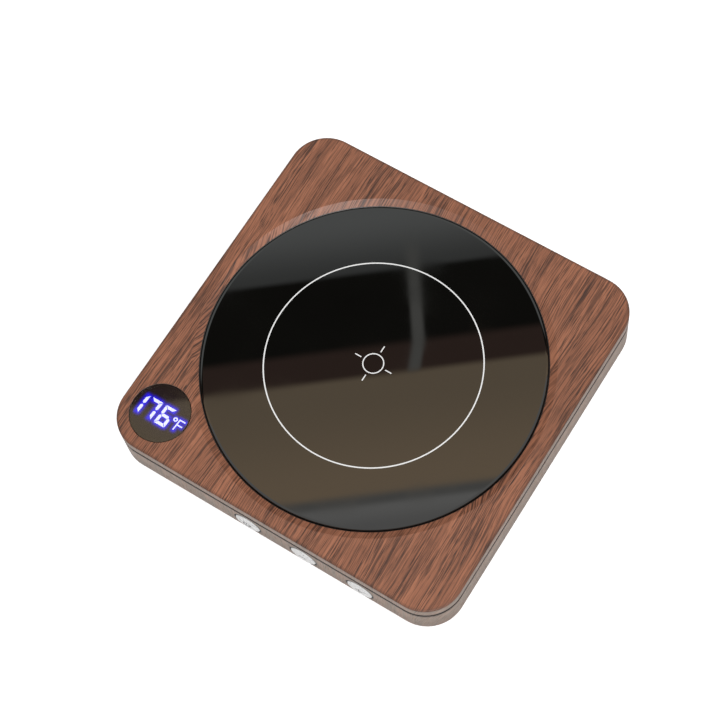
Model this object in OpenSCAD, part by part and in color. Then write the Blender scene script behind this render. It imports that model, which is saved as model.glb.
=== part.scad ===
// Square mug warmer: a glass hot plate in a wood-print plastic body, with a corner
// temperature display, three push buttons on the front edge and a power inlet at the back.
// X runs left to right, Y runs front to back, Z is up. The origin is the point on the table
// under the middle of the body. Millimetres.

/* [Body] */
// Width of the body
body_w = 120; // [108:0.5:150]
// Depth of the body
body_d = 120; // [108:0.5:150]
// Height of the body, from the underside of the case to the top of the cover
body_h = 18; // [17.6:0.1:24]
// Radius of the four upright corners
corner_r = 12; // [8:0.5:14]
// Thickness of the side walls
wall_t = 2.4; // [2.2:0.1:2.8]
// Thickness of the cover's top
top_t = 2; // [1.8:0.1:2.4]
// Thickness of the case's floor
floor_t = 2; // [1.6:0.1:2.2]
// Radius of the case's bottom edge
bottom_edge_r = 2; // [0.5:0.1:2.2]
// Radius of the cover's top edge
top_edge_r = 0.4; // [0.2:0.1:1.2]

/* [Seam] */
// Distance from the top of the cover down to the middle of the seam
seam_drop = 4.7; // [3.8:0.1:5.2]
// Height of the shadow gap at the seam
seam_h = 0.9; // [0.4:0.1:1.4]
// Depth of the shadow gap, which is the thickness of the case's rim
rim_t = 1; // [0.8:0.1:1.2]
// Clearance between the rim and the cover's tongue
tongue_gap = 0.15; // [0.1:0.05:0.2]
// Reach of the cover's tongue below the top of the rim
tongue_h = 1.3; // [1:0.1:2.2]

/* [Hot plate] */
// Distance from the body's nearer sides to the glass plate
plate_margin = 6.9; // [6.8:0.1:10]
// Thickness of the glass plate
glass_t = 3; // [2.6:0.1:3.2]
// Bevel around the top edge of the glass
glass_bevel = 0.3; // [0.1:0.1:0.6]
// Distance from the top of the cover down to the glass
glass_drop = 0.6; // [0.2:0.1:0.9]
// Clearance around the glass
glass_gap = 0.25; // [0.1:0.05:0.4]
// Width of the sloping border around the glass
dish_w = 2.45; // [1:0.05:2.6]
// Depth of the sloping border
dish_depth = 1.1; // [0.6:0.1:1.4]
// Width of the ledge that carries the glass
ledge_w = 3.1; // [2:0.1:6]
// Thickness of the ledge
ledge_t = 1.6; // [1:0.1:2]
// Thickness of the ring wall around the glass
ring_t = 1.6; // [1.4:0.1:2]
// Thickness of the silicone seal under the rim of the glass
seal_t = 0.5; // [0.3:0.1:0.8]

/* [Heater] */
// Distance from the rim of the glass to the aluminium heat spreader
spreader_margin = 19.1; // [19:0.1:23.1]
// Thickness of the heat spreader
spreader_t = 1.5; // [1:0.1:1.6]
// Distance from the rim of the heat spreader to the film heater
film_margin = 2; // [0:0.1:9]
// Thickness of the film heater
film_t = 0.4; // [0.2:0.1:0.5]
// Width of the film heater's tab
tab_w = 8; // [6:0.5:12]
// Length of the tab beyond the heat spreader
tab_l = 5.5; // [3.5:0.1:5.6]
// Distance from the rim of the heat spreader to the mica sheet and the felt pad
pad_margin = 1; // [0.5:0.1:4]
// Thickness of the mica sheet
mica_t = 0.5; // [0.3:0.1:0.6]
// Thickness of the felt pad
felt_t = 2; // [1.8:0.1:2.2]
// Distance from the rim of the felt pad to the clamp's disc
clamp_margin = 3; // [1:0.1:9]
// Thickness of the clamp
clamp_t = 0.8; // [0.6:0.1:1]
// Width of the clamp's arms
clamp_arm_w = 8; // [6:0.5:10]
// Angle from the X axis to the nearest arm
clamp_arm_angle = 30; // [28:1:34]
// Diameter of the temperature sensor's bead
sensor_d = 2; // [1.4:0.1:2]
// Distance of the sensor and of the fuse from the middle of the plate
probe_x = 10; // [8:0.5:14]
// Diameter of the thermal fuse
fuse_d = 2; // [1.4:0.1:2]
// Clearance around the fuse in the felt
fuse_gap = 0.3; // [0.1:0.1:1]
// Distance of the fuse's middle in front of the middle of the plate
fuse_front = 4; // [3:0.5:8]
// Length of the thermal fuse
fuse_l = 9; // [6:0.5:12]

/* [Display] */
// Diameter of the display window
window_d = 19.3; // [18.4:0.1:19.6]
// Thickness of the window
window_t = 1.2; // [0.8:0.1:1.4]
// Distance from the body's left side to the middle of the window
window_left = 12.9; // [12.5:0.1:13.2]
// Distance from the body's front to the middle of the window
window_front = 13.2; // [12.8:0.1:13.4]
// Clearance around the window
window_gap = 0.1; // [0.05:0.05:0.2]
// Depth of the window below the top of the cover
window_drop = 0.1; // [0:0.05:0.3]
// Width of the ledge under the window
window_ledge = 0.85; // [0.6:0.05:1]
// Height of the digits
digit_h = 6.6; // [5:0.1:7]
// Width of the digits
digit_w = 3.9; // [3:0.1:4.1]
// Width of the digits' strokes
stroke = 1; // [0.6:0.05:1.1]
// Gap between neighbouring strokes
stroke_gap = 0.12; // [0.08:0.01:0.2]
// Lean of the digits in degrees
digit_lean = 4; // [0:1:8]
// Distance between the last two digits
digit_pitch = 5.1; // [4.9:0.1:5.4]
// Distance between the first two digits
first_pitch = 4.65; // [4.5:0.05:4.9]
// Width of the strokes of the unit sign
unit_stroke = 0.42; // [0.3:0.02:0.5]
// Height of the unit sign's letter
unit_h = 3.9; // [3:0.1:4.2]
// Width of the unit sign's letter
unit_w = 2.2; // [1.6:0.1:2.3]
// Diameter of the degree ring
degree_d = 1.45; // [1.2:0.05:1.6]
// Space between the last digit, the degree ring and the letter
unit_space = 0.4; // [0.3:0.05:0.6]
// Height of the digits' light guides
guide_h = 1.9; // [1:0.1:3]
// Thickness of the display's circuit board
display_board_t = 1; // [0.8:0.1:1.2]
// Height of the display's reflector block
reflector_h = 4.9; // [4.4:0.1:5.2]
// Distance from the middle of the window to each display screw
display_screw_reach = 11.5; // [11.2:0.1:11.6]

/* [Buttons] */
// Diameter of the button caps
button_d = 8.7; // [7:0.1:8.8]
// Distance between neighbouring buttons
button_pitch = 20; // [14:0.5:21]
// Distance of the middle button to the right of the body's middle
button_x = 12; // [8:0.5:14]
// Height of the buttons above the table
button_z = 8.65; // [8.6:0.05:8.7]
// Travel of each button
button_travel = 0.5; // [0.3:0.05:0.5]
// Clearance around each cap
button_gap = 0.25; // [0.2:0.01:0.26]
// Height of each cap's crown above the wall
button_proud = 0.5; // [0.3:0.05:0.8]
// Rise of each cap's crown
button_crown = 0.35; // [0.1:0.05:0.4]
// Diameter of the flange that keeps each cap in
flange_d = 10.6; // [9.8:0.1:12]
// Thickness of the flange
flange_t = 0.8; // [0.6:0.1:1]
// Clearance between the flange and the wall, and between the flange and the floor
flange_gap = 0.3; // [0.2:0.05:0.4]
// Length of the stem behind each cap
stem_l = 0.6; // [0.4:0.1:1]
// Distance from the outer buttons to the ends of their board
button_board_end = 7; // [5:0.5:8]
// Height of the button board
button_board_h = 9; // [8.6:0.1:9.4]
// Side of the square switches
switch_w = 6; // [5:0.1:6.4]
// Depth of the switches
switch_l = 3.5; // [3.2:0.1:5]
// Diameter of the switches' plungers
plunger_d = 3.5; // [2:0.1:3.8]
// Length of the plungers outside the switches
plunger_out = 1.2; // [1:0.1:2]
// Length of the plungers inside the switches
plunger_in = 1.4; // [1:0.1:1.5]
// Space around and behind each plunger inside its switch
plunger_gap = 0.25; // [0.2:0.01:0.3]

/* [Power inlet] */
// Width of the inlet's housing
inlet_w = 9; // [8.4:0.1:11]
// Height of the inlet's housing
inlet_h = 9; // [8.4:0.1:9.4]
// Length of the inlet's housing inside the case
inlet_l = 12; // [11:0.1:12.4]
// Height of the inlet's axis above the table
inlet_z = 9; // [8.8:0.1:9.2]
// Diameter of the inlet's nose
nose_d = 7.8; // [7:0.1:8]
// Depth of the nose below the body's back
nose_drop = 0.3; // [0.1:0.1:1]
// Diameter of the inlet's bore
inlet_bore_d = 5.7; // [5.5:0.1:6.2]
// Depth of the inlet's bore
inlet_bore_l = 9.5; // [8:0.1:10]
// Diameter of the centre pin
pin_d = 2.1; // [1.6:0.1:2.5]
// Distance from the mouth of the bore to the tip of the pin
pin_drop = 1; // [0.4:0.1:2]
// Length of the pin's root, which is held in the housing
pin_root = 2; // [1.2:0.1:2.4]
// Width of the shoulder between the pin and its root
pin_shoulder = 0.3; // [0.1:0.05:0.3]
// Height of the shoulder above the floor of the bore
pin_lift = 0.1; // [0.1:0.05:0.5]
// Thickness of the sheet-metal contact and terminals
contact_t = 0.3; // [0.2:0.05:0.5]
// Width of the sheet-metal contact and terminals
contact_w = 1.6; // [1:0.1:2]
// Distance from the mouth of the bore to the tip of the spring contact
contact_drop = 2; // [1:0.1:4]
// Length of the terminals behind the housing
terminal_l = 2.6; // [2:0.1:3]

/* [Main board] */
// Width of the main board
board_w = 60; // [58:1:66]
// Distance of the board's front edge behind the body's middle
board_front = 5.5; // [5:0.1:6]
// Distance from the body's back to the board's back edge
board_back = 18.5; // [18:0.1:19]
// Thickness of the main board and the button board
board_t = 1.2; // [1:0.1:1.3]
// Height of the posts under the main board
board_lift = 2; // [1.6:0.1:2.2]
// Distance from the board's edges to its screws
board_screw_inset = 3.5; // [3:0.1:4]
// Height of the plugs on the main board
plug_h = 3.3; // [2.5:0.1:3.5]
// Depth of the plugs
plug_d = 5; // [4:0.1:5.4]
// Diameter of the capacitors
capacitor_d = 6.3; // [5:0.1:6.5]
// Height of the capacitors
capacitor_h = 5.4; // [4:0.1:6]
// Side of the choke
choke_w = 7; // [5:0.1:8]
// Height of the choke
choke_h = 3; // [2:0.1:3.4]
// Diameter of the wires to the display, the buttons and the probes
wire_d = 0.8; // [0.6:0.05:0.8]
// Space between neighbouring wires
wire_space = 0.3; // [0.2:0.05:0.35]
// Diameter of the wires that carry the heater's current
power_wire_d = 1.3; // [1:0.1:1.4]

/* [Feet and screws] */
// Diameter of the rubber feet
foot_d = 12; // [9:0.5:13]
// Radius of the bottom edge of the feet
foot_edge_r = 0.5; // [0.2:0.1:1]
// Height of the feet below the case
foot_h = 2; // [1.4:0.1:2.2]
// Depth of the pockets that hold the feet
foot_pocket = 0.8; // [0.4:0.1:0.9]
// Clearance around each foot in its pocket
foot_gap = 0.15; // [0.05:0.05:0.3]
// Distance from the body's sides to the middle of each foot
foot_inset = 14; // [13:0.5:17]
// Distance of the case screws from the sides of the body
case_screw_inset = 7; // [6.4:0.1:7.4]
// Distance between the case screws and the clamp screws, front to back
case_screw_space = 8; // [8:0.1:12]
// Diameter of the case screws
case_screw_d = 2.4; // [2:0.1:2.6]
// Diameter of the case screws' heads
case_head_d = 4.4; // [3.8:0.1:4.6]
// Height where the case's posts meet the cover's bosses
post_top = 9; // [8:0.1:10]
// Diameter of the clamp screws
clamp_screw_d = 1.9; // [1.6:0.1:2.2]
// Diameter of the display's and the boards' screws
small_screw_d = 1.6; // [1.4:0.1:1.8]
// Clearance between a screw and its pilot hole
screw_gap = 0.05; // [0.01:0.01:0.1]
// Clearance between a case screw and the hole through its post
post_gap = 0.2; // [0.1:0.05:0.3]
// Clearance around the head of a case screw
head_gap = 0.1; // [0.05:0.05:0.3]
// Depth of the case screws' heads below the underside
head_drop = 1; // [0.4:0.1:1.2]
// Wall of the bosses around their screws
boss_wall = 1.5; // [1.2:0.05:1.6]
// Wall of the case's posts around the heads of their screws
post_wall = 1; // [0.8:0.1:1.2]
// Distance of the clamp screws outside the ring wall
clamp_screw_out = 1; // [0.8:0.1:1.6]

/* [Underside] */
// Width of the blank plate
label_w = 46; // [30:1:60]
// Depth of the blank plate, front to back
label_d = 26; // [14:1:30]
// Thickness of the blank plate
label_t = 0.3; // [0.2:0.05:0.5]
// Clearance around the blank plate in its recess
label_gap = 0.2; // [0.1:0.05:0.4]
// Distance of the blank plate's middle in front of the body's middle
label_front = 24; // [18:1:30]
// Length of the air slots
slot_l = 14; // [8:1:20]
// Width of the air slots
slot_w = 1.6; // [1:0.1:2]
// Distance between neighbouring air slots
slot_pitch = 8; // [5:0.5:9]
// Distance of the air slots' middle behind the body's middle
slots_y = 24; // [16:1:32]

/* [Hidden] */
$fn = 96;

// Cutters reach this far past the faces that they cut
over = 1;
WIRE_SIDES = 8;

// Levels, from the table upwards
case_z = foot_h;
floor_z = case_z + floor_t;
top_z = case_z + body_h;
rim_z = top_z - seam_drop - seam_h / 2;
skirt_z = rim_z + seam_h;
shoulder_z = rim_z - tongue_h;
ceiling_z = top_z - top_t;
glass_z = top_z - glass_drop - glass_t;
ledge_z = glass_z - seal_t;
spreader_z = glass_z - spreader_t;
film_z = spreader_z - film_t;
mica_z = film_z - mica_t;
felt_z = mica_z - felt_t;
clamp_z = felt_z - clamp_t;
window_z = top_z - window_drop - window_t;
reflector_z = window_z - reflector_h;
display_board_z = reflector_z - display_board_t;
board_z = floor_z + board_lift;
board_top = board_z + board_t;
plug_top = board_top + plug_h;
lead_z = board_top + plug_h / 2;

// Diameters of the parts of the hot plate, from the body inwards
glass_d = min(body_w, body_d) - 2 * plate_margin;
spreader_d = glass_d - 2 * spreader_margin;
film_d = spreader_d - 2 * film_margin;
pad_d = spreader_d - 2 * pad_margin;
clamp_d = pad_d - 2 * clamp_margin;
tab_end = spreader_d / 2 + tab_l;

// Radii of the hot plate and of the ring in the cover that holds it
glass_r = glass_d / 2;
lip_r = glass_r + glass_gap;
ring_r = lip_r + ring_t;
dish_r = lip_r + dish_w;
ledge_r = glass_r - ledge_w;

// Cross recesses, as shares of a screw head's diameter and height
cross_l = 0.62;
cross_w = 0.17;
cross_depth = 0.5;

// Screws: sizes and places. A head is [diameter, height].
clamp_eye_rim = 0.5;
clamp_eye_r = clamp_arm_w / 2 + clamp_eye_rim;
clamp_boss_r = clamp_screw_d / 2 + boss_wall;
clamp_head = [3.6, 1.2];
clamp_grip = 4;
clamp_screw_r = ring_r + clamp_screw_out;
clamp_screw_x = clamp_screw_r * cos(clamp_arm_angle);
clamp_screw_y = clamp_screw_r * sin(clamp_arm_angle);
case_head = [case_head_d, 1.5];
case_grip = 5;
case_boss_r = case_screw_d / 2 + boss_wall;
case_post_r = case_head_d / 2 + post_wall;
case_seat_z = case_z + head_drop + case_head[1];
case_screw_x = body_w / 2 - case_screw_inset;
case_screw_y = clamp_screw_y - case_screw_space;
small_head = [3.4, 1];
small_grip = 2.2;
small_boss_r = small_screw_d / 2 + boss_wall;
board_end = body_d / 2 - board_back;
board_d = board_end - board_front;
board_y = (board_end + board_front) / 2;
board_screw_x = board_w / 2 - board_screw_inset;
board_screw_y = board_d / 2 - board_screw_inset;
foot_x = body_w / 2 - foot_inset;
foot_y = body_d / 2 - foot_inset;

// Display: the window's place, and its digits measured from the middle of the window
window_x = window_left - body_w / 2;
window_y = window_front - body_d / 2;
view_r = window_d / 2 - window_ledge;
reflector_gap = 0.1;
reflector_r = view_r - reflector_gap;
ear_r = small_boss_r - reflector_gap;
display_board_rim = 0.4;
guide_z = window_z - guide_h;
digits_y = 0.2;
last_x = 1.55;
middle_x = last_x - digit_pitch;
first_x = middle_x - first_pitch;
degree_space = 1.6 * unit_space;
degree_x = last_x + (digit_w + degree_d) / 2 + degree_space;
degree_y = 0.75;
unit_x = degree_x + degree_d / 2 + unit_space;
unit_y = degree_y + degree_d / 2;
UNIT_LIGHTS = [
    [degree_x - (degree_d - unit_stroke) / 2, degree_y + digits_y],
    [unit_x, unit_y + digits_y - unit_h / 2]
];
unit_light_r = 0.36;
FIRST_LIT = ["b", "c"];
MIDDLE_LIT = ["a", "b", "c"];
LAST_LIT = ["a", "c", "d", "e", "f", "g"];
MIDDLE_DARK = ["d", "e", "f", "g"];
LAST_DARK = ["b"];

// Buttons: distances inwards from the front face of the body
left_x = button_x - button_pitch;
right_x = button_x + button_pitch;
BUTTON_PLACES = [left_x, button_x, right_x];
button_r = button_d / 2;
flange_in = wall_t + flange_gap;
stem_in = flange_in + flange_t;
plunger_tip = stem_in + stem_l;
switch_in = plunger_tip + plunger_out;
button_board_in = switch_in + switch_l;
button_board_w = 2 * (button_pitch + button_board_end);
button_plug_size = [10, 3.5, 5];
rail_w = 3;
rail_grip = 1.5;
rail_h = 8;
rail_gap = 0.1;

// Power inlet: distances along Y
inlet_face_y = body_d / 2 - wall_t;
inlet_back_y = inlet_face_y - inlet_l;
nose_y = body_d / 2 - nose_drop;
bore_end_y = nose_y - inlet_bore_l;
terminal_y = inlet_back_y - terminal_l;
pin_root_r = pin_d / 2 - pin_shoulder;
strip_z = inlet_z + inlet_bore_d / 2 - 2 * contact_t;
nose_gap = 0.1;
cradle_t = 1.5;
cradle_gap = 0.1;
cradle_h = 5;
cradle_step = 2;
stop_h = 4;

// Parts on the main board: places and plan sizes. A plug is [place along X, width].
plug_in = 0.5;
plug_y = board_front + plug_in + plug_d / 2;
display_plug = [-16, 10];
fuse_plug = [-7, 5];
sensor_plug = [8.5, 5];
button_socket = [17, 10];
heater_plug_w = 8;
heater_plug_y = tab_end - plug_d / 2;
chip_size = [10, 8, 1.6];
chip_in = 14.5;
chip_place = [-6, board_front + chip_in];
transistor_size = [6.6, 6.1, 2.3];
transistor_tab = [5.4, 2, 0.5];
transistor_in = 15.5;
transistor_place = [14, board_front + transistor_in];
choke_in = [6, 10];
choke_place = [board_w / 2, board_end] - choke_in;
CAPACITORS_IN = [[-8, 10], [-16, 6.5]];
CAPACITOR_PLACES = [for (in = CAPACITORS_IN) [-board_w / 2, board_end] - in];
inlet_pad_x = 8;
inlet_pad_in = 2.5;
inlet_pad_y = board_end - inlet_pad_in;
wire_r = wire_d / 2;
wire_pitch = wire_d + wire_space;
power_wire_r = power_wire_d / 2;
wire_floor = floor_z + wire_r;
plug_run = 2;
probe_rise = 0.6;
probe_z = lead_z + probe_rise;
display_lead_start = [4, 4];
display_lead_drop = 2;
button_lead_run = 2;
button_lead_drop = 4;
live_lead_rise = 2;
return_lead_rise = 1.4;

// Openings in the felt and the clamp for the probes
probe_hole_r = 2.4;
fuse_bend = 1;
fuse_hole_y = fuse_l / 2 + fuse_bend;

WOOD = "#84604a";
WOOD_SIDE = "#9a8578";
BLACK = "#151515";
BOARD = "#1f6b3a";
STEEL = "#b9bcc0";

// ---------- shapes shared by several parts ----------

// Plan of the body, drawn in by the given inset
module plan(inset) {
    w = body_w - 2 * inset;
    d = body_d - 2 * inset;
    r = corner_r - inset;
    square([w - 2 * r, d], center = true);
    square([w, d - 2 * r], center = true);
    for (x = [-1, 1] * (w / 2 - r), y = [-1, 1] * (d / 2 - r))
        translate([x, y]) circle(r);
}

// Slab of the body's plan between two levels
module slab(inset, low, high) {
    translate([0, 0, low]) linear_extrude(high - low) plan(inset);
}

// Half of an upright section whose lower outer corner is rounded
module edge_profile(reach, height, edge) {
    translate([0, edge]) square([reach, height - edge]);
    square([reach - edge, edge]);
    translate([reach - edge, edge]) circle(edge);
}

module bar_profile(width, height, edge) {
    edge_profile(width / 2, height, edge);
    mirror([1, 0]) edge_profile(width / 2, height, edge);
}

// Full-size slab that stands on z = 0, with its bottom edge rounded
module eased_slab(height, edge) {
    straight_w = body_w - 2 * corner_r;
    straight_d = body_d - 2 * corner_r;
    rotate([90, 0, 0]) linear_extrude(straight_d, center = true) bar_profile(body_w, height, edge);
    rotate([90, 0, 90]) linear_extrude(straight_w, center = true) bar_profile(body_d, height, edge);
    for (x = [-1, 1] * straight_w / 2, y = [-1, 1] * straight_d / 2)
        translate([x, y, 0]) rotate_extrude() edge_profile(corner_r, height, edge);
}

module rod(r, low, high) {
    translate([0, 0, low]) cylinder(r = r, h = high - low);
}

module box(size, low) {
    translate([0, 0, low + size[2] / 2]) cube(size, center = true);
}

module at_corners(x, y) {
    for (sx = [-1, 1], sy = [-1, 1]) translate([sx * x, sy * y, 0]) children();
}

// The two display screws lie on the diagonal that crosses the body's corner diagonal
module at_display_screws() {
    for (side = [-1, 1])
        translate([window_x, window_y, 0]) rotate(-45)
            translate([side * display_screw_reach, 0, 0]) children();
}

module at_window() {
    translate([window_x, window_y, 0]) children();
}

// Places an upright shape on the front wall, with its +Z pointing out of the wall
module at_button(x) {
    translate([x, -body_d / 2, button_z]) rotate([90, 0, 0]) children();
}

// Turns a shape so that its +Z points out of the back wall along the inlet's axis
module along_inlet(y) {
    translate([0, y, inlet_z]) rotate([-90, 0, 0]) children();
}

// Screw standing on its head, which has a cross recess; its shank points up from z = 0
module screw(head, shank_d, shank_l) {
    difference() {
        rod(head[0] / 2, -head[1], 0);
        for (angle = [0, 90])
            rotate(angle)
                box([cross_l * head[0], cross_w * head[0], cross_depth * head[1] + over], -head[1] - over);
    }
    rod(shank_d / 2, -(1 - cross_depth) * head[1] / 2, shank_l);
}

function unit(v) = v / norm(v);

// Ring of points around a wire at one point of its route, mitred where the route bends
function wire_ring(route, i, r) =
    let (
        last = len(route) - 1,
        before = unit(route[max(i, 1)] - route[max(i, 1) - 1]),
        after = unit(route[min(i + 1, last)] - route[min(i + 1, last) - 1]),
        mitre = before + after,
        side = unit(cross([1, 0, 0], before)),
        up = cross(before, side)
    )
    [for (k = [0 : WIRE_SIDES - 1])
        let (out = r * (side * cos(360 * k / WIRE_SIDES) + up * sin(360 * k / WIRE_SIDES)))
        route[i] + out - before * (out * mitre) / (before * mitre)];

// Round wire along a route of points, none of whose legs runs along X
module wire(route, r) {
    n = WIRE_SIDES;
    last = len(route) - 1;
    start_cap = [for (k = [0 : n - 1]) k];
    end_cap = [for (k = [n - 1 : -1 : 0]) last * n + k];
    sides = [for (i = [0 : last - 1], k = [0 : n - 1])
        let (a = i * n + k, b = i * n + (k + 1) % n)
        each [[a, a + n, b + n], [a, b + n, b]]];
    polyhedron([for (i = [0 : last]) each wire_ring(route, i, r)], concat([start_cap], sides, [end_cap]));
}

// Wires side by side along X
module ribbon(route, count) {
    for (i = [0 : count - 1]) {
        aside = [(i - (count - 1) / 2) * wire_pitch, 0, 0];
        wire([for (point = route) point + aside], wire_r);
    }
}

// ---------- cover and case ----------

// Everything inside the ring: the hole under the glass, its seat and the sloping border
module plate_bore() {
    lip_z = top_z - dish_depth;
    under = ledge_z - ledge_t - over;
    rotate_extrude() polygon([
        [0, under], [ledge_r, under], [ledge_r, ledge_z], [lip_r, ledge_z], [lip_r, lip_z],
        [dish_r, top_z], [dish_r, top_z + over], [0, top_z + over]
    ]);
}

module display_opening() {
    at_window() rod(window_d / 2, window_z, top_z + over);
    intersection() {
        at_window() rod(view_r, ceiling_z - over, window_z + over);
        slab(wall_t, ceiling_z - over, window_z + over);
    }
}

// Holes through the side walls for the buttons and for the nose of the power inlet
module wall_openings() {
    for (x = BUTTON_PLACES)
        at_button(x) rod(button_r + button_gap, -wall_t - over, over);
    along_inlet(inlet_face_y) rod(nose_d / 2 + nose_gap, -over, wall_t + over);
}

module top_cover() {
    color(WOOD) difference() {
        union() {
            difference() {
                union() {
                    translate([0, 0, top_z]) mirror([0, 0, 1])
                        eased_slab(top_z - skirt_z, top_edge_r);
                    slab(rim_t + tongue_gap, shoulder_z, ceiling_z);
                }
                slab(wall_t, shoulder_z - over, ceiling_z);
            }
            rod(ring_r, ledge_z - ledge_t, ceiling_z);
            at_corners(clamp_screw_x, clamp_screw_y) rod(clamp_boss_r, felt_z, ceiling_z);
            at_corners(case_screw_x, case_screw_y) rod(case_boss_r, post_top, ceiling_z);
            at_display_screws() rod(small_boss_r, reflector_z, ceiling_z);
        }
        plate_bore();
        display_opening();
        wall_openings();
        at_corners(clamp_screw_x, clamp_screw_y)
            rod(clamp_screw_d / 2 + screw_gap, felt_z - over, felt_z + clamp_grip + screw_gap);
        at_corners(case_screw_x, case_screw_y)
            rod(case_screw_d / 2 + screw_gap, post_top - over, post_top + case_grip + screw_gap);
        at_display_screws()
            rod(small_screw_d / 2 + screw_gap, reflector_z - over,
                reflector_z + small_grip + screw_gap);
    }
}

module board_rails() {
    rail_y = -body_d / 2 + button_board_in + board_t / 2;
    rail_d = board_t + 2 * rail_grip;
    for (side = [-1, 1])
        translate([button_x + side * button_board_w / 2, rail_y, 0])
            difference() {
                box([rail_w, rail_d, rail_h], floor_z);
                translate([-side * (rail_w / 2), 0, 0])
                    box([rail_w + 2 * rail_gap, board_t + 2 * rail_gap, rail_h + over], floor_z);
            }
}

module inlet_cradle() {
    pad_h = inlet_z - inlet_h / 2 - floor_z;
    side_x = (inlet_w + cradle_t) / 2 + cradle_gap;
    stop_y = inlet_back_y - cradle_gap - cradle_t / 2;
    translate([0, inlet_face_y - inlet_l / 2, 0]) {
        box([inlet_w - cradle_step, inlet_l - cradle_step, pad_h], floor_z);
        for (side = [-1, 1]) translate([side * side_x, 0, 0]) box([cradle_t, inlet_l, cradle_h], floor_z);
    }
    translate([0, stop_y, 0]) box([inlet_w - cradle_step, cradle_t, stop_h], floor_z);
}

module air_slots() {
    for (i = [-2 : 2])
        translate([i * slot_pitch, slots_y, case_z - over])
            linear_extrude(floor_t + 2 * over) {
                square([slot_w, slot_l - slot_w], center = true);
                for (end = [-1, 1] * (slot_l - slot_w) / 2) translate([0, end]) circle(d = slot_w);
            }
}

module case_holes() {
    at_corners(foot_x, foot_y)
        rod(foot_d / 2 + foot_gap, case_z - over, case_z + foot_pocket);
    at_corners(case_screw_x, case_screw_y) {
        rod(case_head[0] / 2 + head_gap, case_z - over, case_seat_z);
        rod(case_screw_d / 2 + post_gap, case_z, post_top + over);
    }
    translate([0, board_y, 0]) at_corners(board_screw_x, board_screw_y)
        rod(small_screw_d / 2 + screw_gap, board_z - small_grip - screw_gap, board_z + over);
    wall_openings();
    translate([0, -label_front, 0]) box([label_w, label_d, label_t + over], case_z - over);
    air_slots();
}

module bottom_case() {
    color(WOOD_SIDE) difference() {
        union() {
            difference() {
                translate([0, 0, case_z]) eased_slab(rim_z - case_z, bottom_edge_r);
                slab(wall_t, floor_z, rim_z + over);
                slab(rim_t, shoulder_z, rim_z + over);
            }
            at_corners(case_screw_x, case_screw_y) rod(case_post_r, case_z + floor_t / 2, post_top);
            translate([0, board_y, 0]) at_corners(board_screw_x, board_screw_y)
                rod(small_boss_r, case_z + floor_t / 2, board_z);
            board_rails();
            inlet_cradle();
        }
        case_holes();
    }
}

// ---------- hot plate and heater ----------

module glass_plate() {
    color(BLACK) {
        rod(glass_r, glass_z, glass_z + glass_t - glass_bevel);
        translate([0, 0, glass_z + glass_t - glass_bevel])
            cylinder(r1 = glass_r, r2 = glass_r - glass_bevel, h = glass_bevel);
    }
}

module plate_seal() {
    color("#3a3a3a") difference() {
        rod(glass_r, ledge_z, glass_z);
        rod(ledge_r, ledge_z - over, glass_z + over);
    }
}

module heat_spreader() {
    color("#c9ccd0") rod(spreader_d / 2, spreader_z, glass_z);
}

module film_heater() {
    color("#c77b2a") {
        rod(film_d / 2, film_z, spreader_z);
        translate([0, tab_end / 2, 0]) box([tab_w, tab_end, film_t], film_z);
    }
}

module mica_sheet() {
    color("#b9a06a") rod(pad_d / 2, mica_z, film_z);
}

module felt_pad() {
    color("#d9d6cc") difference() {
        rod(pad_d / 2, felt_z, mica_z);
        translate([probe_x, 0, 0]) rod(probe_hole_r, felt_z - over, mica_z + over);
        translate([-probe_x, -fuse_front, 0])
            box([fuse_d + 2 * fuse_gap, 2 * fuse_hole_y + probe_hole_r, felt_t + 2 * over], felt_z - over);
    }
}

module heater_clamp() {
    color(STEEL) difference() {
        union() {
            rod(clamp_d / 2, clamp_z, felt_z);
            for (angle = [-1, 1] * clamp_arm_angle)
                rotate(angle) box([2 * clamp_screw_r, clamp_arm_w, clamp_t], clamp_z);
            at_corners(clamp_screw_x, clamp_screw_y) rod(clamp_eye_r, clamp_z, felt_z);
        }
        at_corners(clamp_screw_x, clamp_screw_y)
            rod(clamp_screw_d / 2 + screw_gap, clamp_z - over, felt_z + over);
        translate([probe_x, 0, 0]) rod(probe_hole_r, clamp_z - over, felt_z + over);
        for (end = [-1, 1] * fuse_hole_y)
            translate([-probe_x, end - fuse_front, 0]) rod(wire_d, clamp_z - over, felt_z + over);
    }
}

module clamp_screws() {
    color(STEEL) at_corners(clamp_screw_x, clamp_screw_y)
        translate([0, 0, clamp_z]) screw(clamp_head, clamp_screw_d, clamp_t + clamp_grip);
}

module temperature_sensor() {
    color("#2b2b2b") translate([probe_x, 0, mica_z - sensor_d / 2]) sphere(d = sensor_d);
}

module thermal_fuse() {
    color("#e8e4d8") translate([-probe_x, -fuse_front, mica_z - fuse_d / 2])
        rotate([90, 0, 0]) cylinder(d = fuse_d, h = fuse_l, center = true);
}

module heater_leads() {
    color("#c23b2e") for (side = [-1, 1] * tab_w / 4)
        translate([side, heater_plug_y, 0]) rod(power_wire_r, plug_top, film_z);
}

// Two wires from the bead down through the clamp and back to their plug
module sensor_leads() {
    start = [probe_x, 0, mica_z - sensor_d];
    color("#d8d8d8") ribbon([
        start, [probe_x, 0, probe_z], [sensor_plug[0], board_front - plug_run, lead_z],
        [sensor_plug[0], plug_y - plug_d / 2, lead_z]
    ], 2);
}

module fuse_leads() {
    fuse_z = mica_z - fuse_d / 2;
    color("#c23b2e") for (side = [-1, 1])
        wire([
            [-probe_x, side * fuse_l / 2 - fuse_front, fuse_z],
            [-probe_x, side * fuse_hole_y - fuse_front, fuse_z],
            [-probe_x, side * fuse_hole_y - fuse_front, probe_z],
            [fuse_plug[0] - side * wire_pitch / 2, board_front - plug_run, lead_z],
            [fuse_plug[0] - side * wire_pitch / 2, plug_y - plug_d / 2, lead_z]
        ], wire_r);
}

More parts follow.
